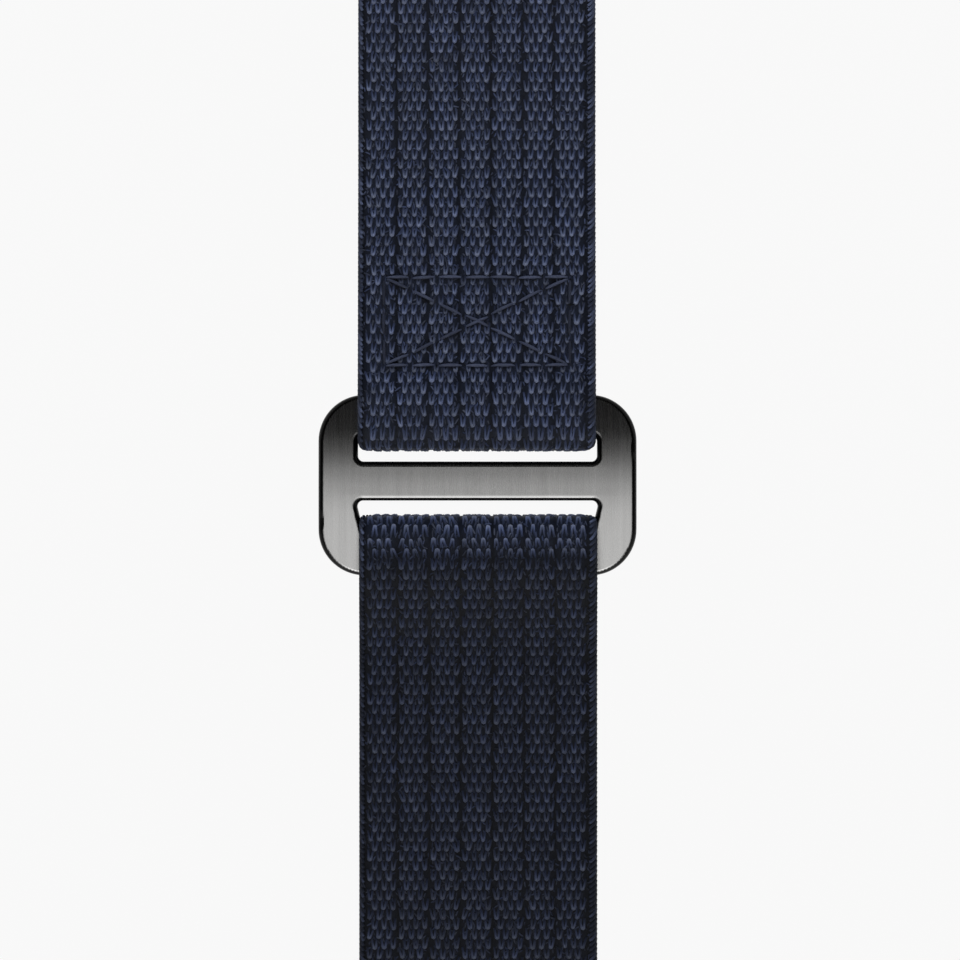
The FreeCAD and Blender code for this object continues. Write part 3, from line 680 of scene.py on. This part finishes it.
def scaled_noise(tree, source, scale, detail, roughness=0.6):
    """A noise texture on a vector output, stretched by scale."""
    stretch = tree.nodes.new("ShaderNodeMapping")
    stretch.inputs["Scale"].default_value = scale
    tree.links.new(source, stretch.inputs["Vector"])
    noise = tree.nodes.new("ShaderNodeTexNoise")
    noise.inputs["Scale"].default_value = 1.0
    noise.inputs["Detail"].default_value = detail
    noise.inputs["Roughness"].default_value = roughness
    tree.links.new(stretch.outputs["Vector"], noise.inputs["Vector"])
    return noise.outputs["Fac"]


def varied(tree, noise, middle, spread):
    """A number that the noise takes from middle - spread to middle + spread."""
    return map_range(tree, noise, *NOISE_RANGE, middle - spread, middle + spread)


def tint(tree, colour, factor):
    """A colour times a number."""
    scale = tree.nodes.new("ShaderNodeVectorMath")
    scale.operation = "SCALE"
    tree.links.new(colour, scale.inputs[0])
    tree.links.new(factor, scale.inputs["Scale"])
    return scale.outputs["Vector"]


def add_bump(tree, shader, height, strength, distance):
    bump = tree.nodes.new("ShaderNodeBump")
    bump.inputs["Strength"].default_value = strength
    bump.inputs["Distance"].default_value = distance
    tree.links.new(height, bump.inputs["Height"])
    tree.links.new(bump.outputs["Normal"], shader.inputs["Normal"])


def yarn_material(name, sheen, roughness, fibres):
    """Dyed yarn: each float's own colour, broken up by fibres that run along it."""
    material, tree, shader = new_material(name)
    colour = tree.nodes.new("ShaderNodeAttribute")
    colour.attribute_name = "yarn_colour"
    place = tree.nodes.new("ShaderNodeAttribute")
    place.attribute_name = "yarn_place"
    fibre = scaled_noise(tree, place.outputs["Vector"], (fibres, fibres * 0.12, 1.7), 3.0)
    patch = scaled_noise(tree, place.outputs["Vector"], (0.8, 0.8, 0.31), 2.0)
    mottled = calculate(tree, "MULTIPLY", varied(tree, fibre, 1, 0.38), varied(tree, patch, 1, 0.06))
    tree.links.new(tint(tree, colour.outputs["Vector"], mottled), shader.inputs["Base Color"])
    tree.links.new(varied(tree, fibre, roughness, -0.12), shader.inputs["Roughness"])
    shader.inputs["Specular IOR Level"].default_value = 0.3
    shader.inputs["Sheen Weight"].default_value = sheen
    shader.inputs["Sheen Roughness"].default_value = 0.5
    shader.inputs["Sheen Tint"].default_value = (0.55, 0.62, 0.85, 1.0)
    add_bump(tree, shader, fibre, 0.5, 0.05 * MM)
    return material


webbing_material = yarn_material("navy_webbing", sheen=0.06, roughness=0.72, fibres=22.0)
thread_material = yarn_material("sewing_thread", sheen=0.05, roughness=0.6, fibres=30.0)
tape_material = yarn_material("moulded_and_brushed_nylon", sheen=0.02, roughness=0.5, fibres=12.0)


def rim_shade_mask(tree):
    """How squarely a surface faces out of the band: near 1 on a flat face and less round its edges. Edges
    that face -Y count as flatter and edges that face either side as less flat, and the result masks the
    painted shade on the buckle's rim.
    """
    geometry = tree.nodes.new("ShaderNodeNewGeometry")
    x, y, z = separate(tree, geometry.outputs["Normal"])
    sloped = calculate(tree, "ADD", map_range(tree, y, -1.0, 0.0, DOWNHILL, 0.0), z)
    return calculate(tree, "MULTIPLY_ADD", calculate(tree, "ABSOLUTE", x), SIDEWAYS, sloped)


def metal_material(name, colour, roughness, streak, anisotropy=0.0, rim=None):
    """Brushed metal with fine lines along Y. rim is the brightness left where the surface turns away from the
    face: painted shade that darkens the rim."""
    material, tree, shader = new_material(name)
    place = tree.nodes.new("ShaderNodeTexCoord").outputs["Object"]
    lines = scaled_noise(tree, place, (9000.0, 160.0, 160.0), 4.0, 0.7)
    broad = scaled_noise(tree, place, (1500.0, 40.0, 40.0), 2.0)
    brightness = calculate(
        tree, "MULTIPLY", varied(tree, lines, 1, streak), varied(tree, broad, 1, streak / 2)
    )
    # Painted shade on the rim: the base colour is darkened where the surface turns away from the face.
    if rim is not None:
        turned = map_range(tree, rim_shade_mask(tree), *RIM, rim, 1.0)
        brightness = calculate(tree, "MULTIPLY", brightness, turned)
    paint = tree.nodes.new("ShaderNodeRGB")
    paint.outputs[0].default_value = (*colour, 1.0)
    tree.links.new(tint(tree, paint.outputs[0], brightness), shader.inputs["Base Color"])
    tree.links.new(varied(tree, lines, roughness, 0.06), shader.inputs["Roughness"])
    shader.inputs["Metallic"].default_value = 1.0
    shader.inputs["Anisotropic"].default_value = anisotropy
    if anisotropy:
        way = tree.nodes.new("ShaderNodeCombineXYZ")
        way.inputs["X"].default_value = 1.0
        tree.links.new(way.outputs["Vector"], shader.inputs["Tangent"])
    add_bump(tree, shader, lines, 0.25, 0.01 * MM)
    return material


gunmetal = metal_material(
    "brushed_gunmetal", (0.44, 0.437, 0.432), roughness=0.26, streak=0.10, anisotropy=0.8, rim=0.05
)
turned_steel = metal_material("turned_steel", (0.60, 0.60, 0.60), roughness=0.28, streak=0.06)
drawn_wire = metal_material("drawn_wire", (0.52, 0.52, 0.50), roughness=0.35, streak=0.05)


def finish_node(name, material):
    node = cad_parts[name]
    node.data.materials.clear()
    node.data.materials.append(material)


finish_node("buckle_frame", gunmetal)
for half in ("upper", "lower"):
    for part in ("bar_tube", "bar_fixed_tip", "bar_sliding_tip", "release_lever"):
        finish_node(f"{half}_{part}", turned_steel)

# -------- webbing pieces

NOTCH_X = 8.3, 11.8  # gap in the underside of an eye for the release lever
NOTCH_HALF = 1.5
NOTCH_AROUND = 0.95  # share of the eye's lower quarter turn that the gap takes up
NOTCH_MARGIN = 0.5, 0.6  # how far the floats stay from it, across and along


def weave(name, strap, ends, stands_for, seed, inner=None, notch=None):
    """One length of webbing, in place of the CAD nodes in stands_for. ends and inner are pairs: the lengths
    it runs between, and the lengths that show floats on the inner face too."""
    draw = np.random.default_rng(SEED + seed)
    mesh = Mesh()
    start, end = ends
    side = HALF_WIDTH - BODY_INSET
    if notch:
        (low, high), (first, last) = notch
        add_body(mesh, strap, start, end, -side, low)
        add_body(mesh, strap, start, first, low, high)
        add_body(mesh, strap, last, end, low, high)
        add_body(mesh, strap, start, end, high, side)
    else:
        add_body(mesh, strap, start, end, -side, side)
    picked = (strap.rows >= start) & (strap.rows < end)
    lengths = strap.rows[picked]
    even = np.nonzero(picked)[0] % 2 == 0

    def keep(x, s, edge=FLOAT_MARGIN):
        good = (s > END_MARGIN) & (s < strap.path.length - END_MARGIN)
        good &= np.abs(x) < half_width(strap, s) - edge
        if notch:
            wide, long = NOTCH_MARGIN
            good &= ~((x > low - wide) & (x < high + wide) & (s > first - long) & (s < last + long))
        return good

    add_floats(mesh, strap, lengths, even, 1, keep, draw)
    # The layer folded back behind the rest has the short yarns in every second row only.
    in_front = lengths > strap.turn - 2
    every_second = np.arange(len(lengths)) % 2 == 0
    add_ground(mesh, strap, lengths[in_front | every_second], keep, draw)
    if inner:
        inside = (lengths >= inner[0]) & (lengths < inner[1])
        add_floats(mesh, strap, lengths[inside], even[inside], -1, keep, draw)
    edge_rows = lengths[(lengths > SELVAGE_END) & (lengths < strap.path.length - SELVAGE_END)]
    add_selvage(mesh, strap, edge_rows, draw)
    made = mesh.make(name, webbing_material)
    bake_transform(made)
    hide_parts(*stands_for)


def upper_at(y):
    return upper_path.length_at(y, UPPER_TURN)


def lower_at(y):
    return lower_path.length_at(y, LOWER_TURN)


def eye_notch(path, sign):
    """Where the lever's notch lies in an eye: across the webbing, and along its middle line."""
    bottom = path.length - (EYE_Y - (UPPER_END_FOLD if sign > 0 else -LOWER_END_FOLD))
    quarter = EYE_RADIUS * math.pi / 2
    low, high = sorted(sign * x for x in NOTCH_X)
    return (low, high), (bottom - quarter * NOTCH_AROUND, bottom + NOTCH_HALF)


def segments(half, number):
    """Two neighbouring bodies of a half's webbing."""
    return f"{half}_segment_{number}", f"{half}_segment_{number + 1}"


# Each piece ends near the middle of a stiff segment and has one flex line inside it, so that two pieces meet
# where the webbing stays straight.
UPPER_JOINS = [upper_at(y) for y in (32, 44, 56)]
LOWER_JOINS = [lower_at(y) for y in (-24, -36, -48, -60)]
TAIL_JOINS = [lower_path.length_at(y) for y in (-43.5, -36, -24)]

weave(
    "upper_buckle_loop_weave", upper, (0.0, UPPER_JOINS[0]),
    stands_for=["upper_buckle_loop"], seed=1,
    inner=(upper_at(UPPER_FOLD), UPPER_JOINS[0]),
)
for number, flex_line in ((1, 38), (2, 50)):
    ends = UPPER_JOINS[number - 1 : number + 1]
    weave(
        f"upper_webbing_weave_{number}", upper, ends,
        stands_for=[f"upper_webbing_{number}"],
        seed=1 + number, inner=ends,
    )
weave(
    "upper_end_loop_weave", upper, (UPPER_JOINS[2], upper_path.length),
    stands_for=["upper_webbing_3", "upper_end_loop"], seed=4,
    inner=(UPPER_JOINS[2], upper_at(65)), notch=eye_notch(upper_path, 1),
)
weave(
    "lower_buckle_loop_weave", lower, (TAIL_JOINS[2], LOWER_JOINS[0]),
    stands_for=["lower_buckle_loop"], seed=5,
)
for number, flex_line in ((1, -30), (2, -42)):
    ends = LOWER_JOINS[number - 1 : number + 1]
    weave(
        f"lower_webbing_weave_{number}", lower, ends,
        stands_for=[f"lower_webbing_{number}"],
        seed=5 + number,
    )
weave(
    "lower_webbing_weave_3", lower, LOWER_JOINS[2:4],
    stands_for=["lower_webbing_3"], seed=8, inner=(lower_at(-54.5), LOWER_JOINS[3]),
)
weave(
    "lower_end_loop_weave", lower, (LOWER_JOINS[3], lower_path.length),
    stands_for=["lower_webbing_4", "lower_end_loop"], seed=9,
    inner=(LOWER_JOINS[3], lower_at(-69)), notch=eye_notch(lower_path, -1),
)
weave(
    "tail_weave_1", lower, TAIL_JOINS[1:3],
    stands_for=["tail_1"], seed=10,
)
weave(
    "tail_weave_2", lower, TAIL_JOINS[0:2],
    stands_for=["tail_2", "tail_3"], seed=11,
)
weave(
    "tail_tip_weave", lower, (0.0, TAIL_JOINS[0]),
    stands_for=["tail_tip"], seed=12, inner=(0.0, TAIL_JOINS[0]),
)


def sew(name, strap, seams, body, stands_for, seed):
    """A group of stitches that shows on both faces. seams is pairs of the stitches' ends and the length past
    which that face lies."""
    draw = np.random.default_rng(SEED + seed)
    mesh = Mesh()
    for ends, after in seams:
        add_stitches(mesh, strap, ends, after, draw)
    made = mesh.make(name, thread_material)
    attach(made, body)
    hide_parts(stands_for)


box_faces = [(BOX_STITCHES, UPPER_TURN), (BOX_STITCHES, 0.0)]
sew("box_stitch_thread", upper, box_faces, "upper_loop", "box_stitch", 20)

END_STITCH_X = 9.8  # half width of the end stitching, and where its rows lie
UPPER_END_ROWS = 66.7, 73.3
LOWER_END_ROWS = -71.2, -73.3

for half, strap, rows, seed in (("upper", upper, UPPER_END_ROWS, 21), ("lower", lower, LOWER_END_ROWS, 22)):
    seams = np.concatenate(
        [stitch_ends((-END_STITCH_X, y), (END_STITCH_X, y), BOX_ROW_STITCHES) for y in rows]
    )
    under = strap.path.length - abs(EYE_Y - abs(rows[0])) - 1.0  # just before the eye's inner layer
    faces = [(seams, strap.turn), (seams, under)]
    sew(f"{half}_end_stitch_thread", strap, faces, f"{half}_end", f"{half}_end_stitch", seed)

# -------- hook and loop tapes

TAPE_BASE = 0.11  # thickness of the tapes' backing
HOOK_PITCH = 0.75
LOOP_PITCH = 0.55
TAPE_COLOUR = np.array([0.020, 0.023, 0.034])


def add_backing(mesh, half, along, low, high, colour):
    """A flat strip with closed ends."""
    y = np.linspace(*along, max(2, int(abs(along[1] - along[0]) / 0.5)))
    y = np.concatenate([[y[0]], y, [y[-1]]])
    middle = (low + high) / 2
    x = np.array([-half, -half, half, half])
    z = np.array([low, high, high, low])
    rings = np.zeros((1, len(y), 4, 3))
    rings[..., X] = x
    rings[..., Y] = y[:, None]
    rings[..., Z] = z
    rings[:, [0, -1], :, Z] = middle
    mesh.add_rings(rings, colour, rings.copy())


def tape_grid(half, along, pitch, draw):
    """Places of the hooks or loops on a tape, (count, 2), a little uneven."""
    low, high = sorted(along)
    xs = np.arange(-half + pitch / 2, half, pitch)
    ys = np.arange(low + pitch / 2, high - pitch / 4, pitch)
    grid = np.stack(np.meshgrid(xs, ys), axis=-1).reshape(-1, 2)
    return grid + draw.normal(0, pitch * 0.08, grid.shape)


def hook_tape():
    """Moulded tape on the tail's inner face, with rows of small hooks that curl along it."""
    draw = np.random.default_rng(SEED + 30)
    mesh = Mesh()
    base = HOOK_Z[0] + TAPE_BASE
    half = span("hook_patch", X)[1]
    add_backing(mesh, half, HOOK_Y, HOOK_Z[0], base, TAPE_COLOUR)
    places = tape_grid(half, HOOK_Y, HOOK_PITCH, draw)
    height = HOOK_Z[1] - base - 0.05
    curl = np.array([[0, -0.15], [0, 0.55], [0.25, 0.90], [0.60, 1.0], [0.85, 0.72]]) * height
    way = np.where(np.arange(len(places)) % 2, 1.0, -1.0)
    lines = np.zeros((len(places), len(curl), 3))
    lines[..., X] = places[:, :1]
    lines[..., Y] = places[:, 1:] + way[:, None] * curl[:, 0]
    lines[..., Z] = base + curl[:, 1]
    radii = np.array([0.07, 0.055, 0.05, 0.045, 0.03])
    shade = draw.uniform(0.9, 1.5, len(places))
    colours = np.broadcast_to((TAPE_COLOUR * shade[:, None])[:, None], lines.shape)
    add_threads(mesh, lines, radii, (1.0, 0.0, 0.0), colours, sides=5)
    made = mesh.make("hook_tape", tape_material)
    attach(made, "tail_tip")
    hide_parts("hook_patch")


def loop_tape(name, along, body_a, body_b, flex, stands_for, seed):
    """Brushed tape under the outer webbing, covered in small loops for the tail's hooks to catch."""
    draw = np.random.default_rng(SEED + seed)
    mesh = Mesh()
    base = TAPE_Z[1] - TAPE_BASE
    add_backing(mesh, TAPE_HALF, along, base, TAPE_Z[1], TAPE_COLOUR)
    places = tape_grid(TAPE_HALF, along, LOOP_PITCH, draw)
    count = len(places)
    swing = np.linspace(0, math.pi, 7)
    wide = draw.uniform(0.14, 0.27, count)[:, None] * np.cos(swing)
    deep = (base - TAPE_Z[0] - 0.05) * draw.uniform(0.7, 1.0, count)[:, None] * np.sin(swing)
    facing = draw.uniform(0, math.pi, count)
    lines = np.zeros((count, len(swing), 3))
    lines[..., X] = places[:, :1] + wide * np.cos(facing)[:, None]
    lines[..., Y] = places[:, 1:] + wide * np.sin(facing)[:, None]
    lines[..., Z] = base + 0.02 - deep
    up = np.stack([-np.sin(facing), np.cos(facing), np.zeros(count)], axis=-1)
    shade = draw.uniform(0.8, 2.0, count)
    colours = np.broadcast_to((TAPE_COLOUR * shade[:, None])[:, None], lines.shape)
    add_threads(mesh, lines, 0.04, up[:, None], colours, sides=4)
    made = mesh.make(name, tape_material)
    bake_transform(made)
    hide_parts(*stands_for)


hook_tape()
for number, along, bodies, flex, patch in (
    (1, (-24, TAPE_Y[1]), ("lower_loop", "lower_segment_1"), (-13, -23), 1),
    (2, (-36, -24), segments("lower", 1), (-25, -35), 1),
    (3, (-48, -36), segments("lower", 2), (-37, -47), 2),
    (4, (TAPE_Y[0], -48), segments("lower", 3), (-49, -59), 3),
):
    loop_tape(f"loop_tape_{number}", along, *bodies, flex, [f"loop_patch_{patch}"], 30 + number)

# -------- springs

SPRING_PITCH = 1.0
SPRING_STEPS = 16  # points in one turn of the coil
WIRE = 0.09  # radius of the wire


def bar_spring(half):
    """The coil spring inside a bar's tube, at the CAD spring's length, attached to the bar."""
    node = f"{half}_bar_spring"
    start, end = span(node, X)
    radius = (span(node, Z)[1] - span(node, Z)[0]) / 2 - WIRE
    centre_y, centre_z = sum(span(node, Y)) / 2, sum(span(node, Z)) / 2
    length = end - start - 2 * WIRE
    steps = int(length / SPRING_PITCH * SPRING_STEPS)
    share = np.linspace(0, 1, steps)
    angle = share * length / SPRING_PITCH * 2 * math.pi
    spoke = np.stack([np.zeros(steps), np.cos(angle), np.sin(angle)], axis=-1)
    middle = np.zeros((steps, 3))
    middle[:, X] = start + WIRE + share * length
    middle[:, Y] = centre_y
    middle[:, Z] = centre_z
    line = middle + spoke * radius
    radii = np.full(steps, WIRE)
    radii[[0, -1]] = WIRE * 0.2
    mesh = Mesh()
    add_threads(mesh, line[None], radii, spoke[None], np.full((1, steps, 3), 0.5))
    made = mesh.make(f"{half}_coil_spring", drawn_wire)
    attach(made, f"{half}_bar")
    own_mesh(made)
    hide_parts(node)


for half in ("upper", "lower"):
    bar_spring(half)

# -------- floor, camera and light

# Floor and lights are in metres.
FLOOR_REACH = 3.0  # half width of the floor
FLOOR_Z = -0.07  # low enough for the band curled to its limits
FLOOR_GLOW = 0.928
BACKGROUND = 0.94  # brightness behind the floor's far edge
PHOTO_WIDTH = 101.1  # what the photo's width spans, in millimetres, at the height SCALE_Z
SCALE_Z = 4.0
CAMERA_X = 0.26
CAMERA_Y = 0.54
LENS = 300.0  # long, because the photo shows almost no perspective
KEY_PLACE = 0.0, 1.1, 0.75
KEY_SIZE = 1.6, 0.5
KEY_POWER = 14.0
# The brightness of the surroundings by direction: from where to where it changes, and from what to what.
OVERHEAD = -0.17, 0.245, 1.16, 0.02  # along Y
LOW_FRONT = -0.62, -0.48, 1.2, 0.0  # along Y
RAISED = 0.52, 0.62, 0.0, 1.0  # along Z
INSIDE = 0.30, 0.50, 1.0, 0.06  # along X, to either side
CARD_OUT = 0.85  # how far out along X and along Y each of the four cards stands
CARD_HEIGHT = 0.42
CARD_SIZE = 1.5, 0.55
CARD_POWER = 1.7


def make_floor():
    """A pale sheet that glows evenly, so that it has the photo's plain background and no shadows."""
    mesh = bpy.data.meshes.new("floor")
    corners = [(x * FLOOR_REACH, y * FLOOR_REACH, 0) for x, y in ((-1, -1), (1, -1), (1, 1), (-1, 1))]
    mesh.from_pydata(corners, [], [(0, 1, 2, 3)])
    paper, _, shader = new_material("pale_floor")
    shader.inputs["Base Color"].default_value = (0.02, 0.02, 0.02, 1.0)
    shader.inputs["Roughness"].default_value = 1.0
    shader.inputs["Specular IOR Level"].default_value = 0.0
    shader.inputs["Emission Color"].default_value = (1.0, 1.0, 1.0, 1.0)
    shader.inputs["Emission Strength"].default_value = FLOOR_GLOW
    mesh.materials.append(paper)
    sheet = bpy.data.objects.new("floor", mesh)
    sheet.location.z = FLOOR_Z
    bpy.context.scene.collection.objects.link(sheet)
    return sheet


def make_camera():
    """Looks straight down on the buckle."""
    data = bpy.data.cameras.new("camera")
    data.lens = LENS
    data.clip_end = 20.0
    camera = bpy.data.objects.new("camera", data)
    bpy.context.scene.collection.objects.link(camera)
    distance = PHOTO_WIDTH * data.lens / data.sensor_width
    camera.location = (CAMERA_X * MM, CAMERA_Y * MM, (distance + SCALE_Z) * MM)
    bpy.context.scene.camera = camera


def make_studio():
    """The surroundings: bright overhead and low in front, dim towards both sides. The camera sees an even
    pale background instead."""
    world = bpy.data.worlds.new("studio")
    bpy.context.scene.world = world
    world.use_nodes = True
    tree = world.node_tree
    direction = tree.nodes.new("ShaderNodeTexCoord")
    x, y, z = separate(tree, direction.outputs["Generated"])
    overhead = map_range(tree, y, *OVERHEAD, "SMOOTHSTEP")
    low_front = map_range(tree, y, *LOW_FRONT)
    raised = map_range(tree, z, *RAISED)
    total = calculate(tree, "MULTIPLY_ADD", low_front, raised, overhead)
    inside = map_range(tree, calculate(tree, "ABSOLUTE", x), *INSIDE, "SMOOTHSTEP")
    seen = tree.nodes.new("ShaderNodeLightPath")
    shown = tree.nodes.new("ShaderNodeMix")
    shown.data_type = "FLOAT"
    tree.links.new(seen.outputs["Is Camera Ray"], shown.inputs[0])
    tree.links.new(calculate(tree, "MULTIPLY", total, inside), shown.inputs[2])
    shown.inputs[3].default_value = BACKGROUND
    background = tree.nodes["Background"]
    background.inputs["Color"].default_value = (1.0, 1.0, 1.0, 1.0)
    tree.links.new(shown.outputs[0], background.inputs["Strength"])


def area_light(name, place, size, power):
    """A rectangular light that faces the frame's origin and isn't seen in reflections."""
    data = bpy.data.lights.new(name, "AREA")
    data.shape = "RECTANGLE"
    data.size, data.size_y = size
    data.energy = power
    lamp = bpy.data.objects.new(name, data)
    bpy.context.scene.collection.objects.link(lamp)
    lamp.location = place
    lamp.rotation_euler = (-Vector(place)).to_track_quat("-Z", "Y").to_euler()
    lamp.visible_glossy = False
    return lamp


def add_cards():
    """Four weak lights on the diagonals that only the buckle and the bar tubes mirror, which would otherwise
    be black when seen aslant."""
    metal = bpy.data.collections.new("metal")
    for name in ("buckle_frame", "upper_bar_tube", "lower_bar_tube"):
        metal.objects.link(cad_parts[name])
    for number, (x, y) in enumerate(((-1, -1), (1, -1), (-1, 1), (1, 1))):
        place = (x * CARD_OUT, y * CARD_OUT, CARD_HEIGHT)
        card = area_light(f"card_{number}", place, CARD_SIZE, CARD_POWER)
        card.visible_glossy = True
        card.light_linking.receiver_collection = metal


floor = make_floor()
make_camera()
make_studio()
area_light("key", KEY_PLACE, KEY_SIZE, KEY_POWER)
add_cards()
bpy.context.scene.view_settings.view_transform = "Standard"
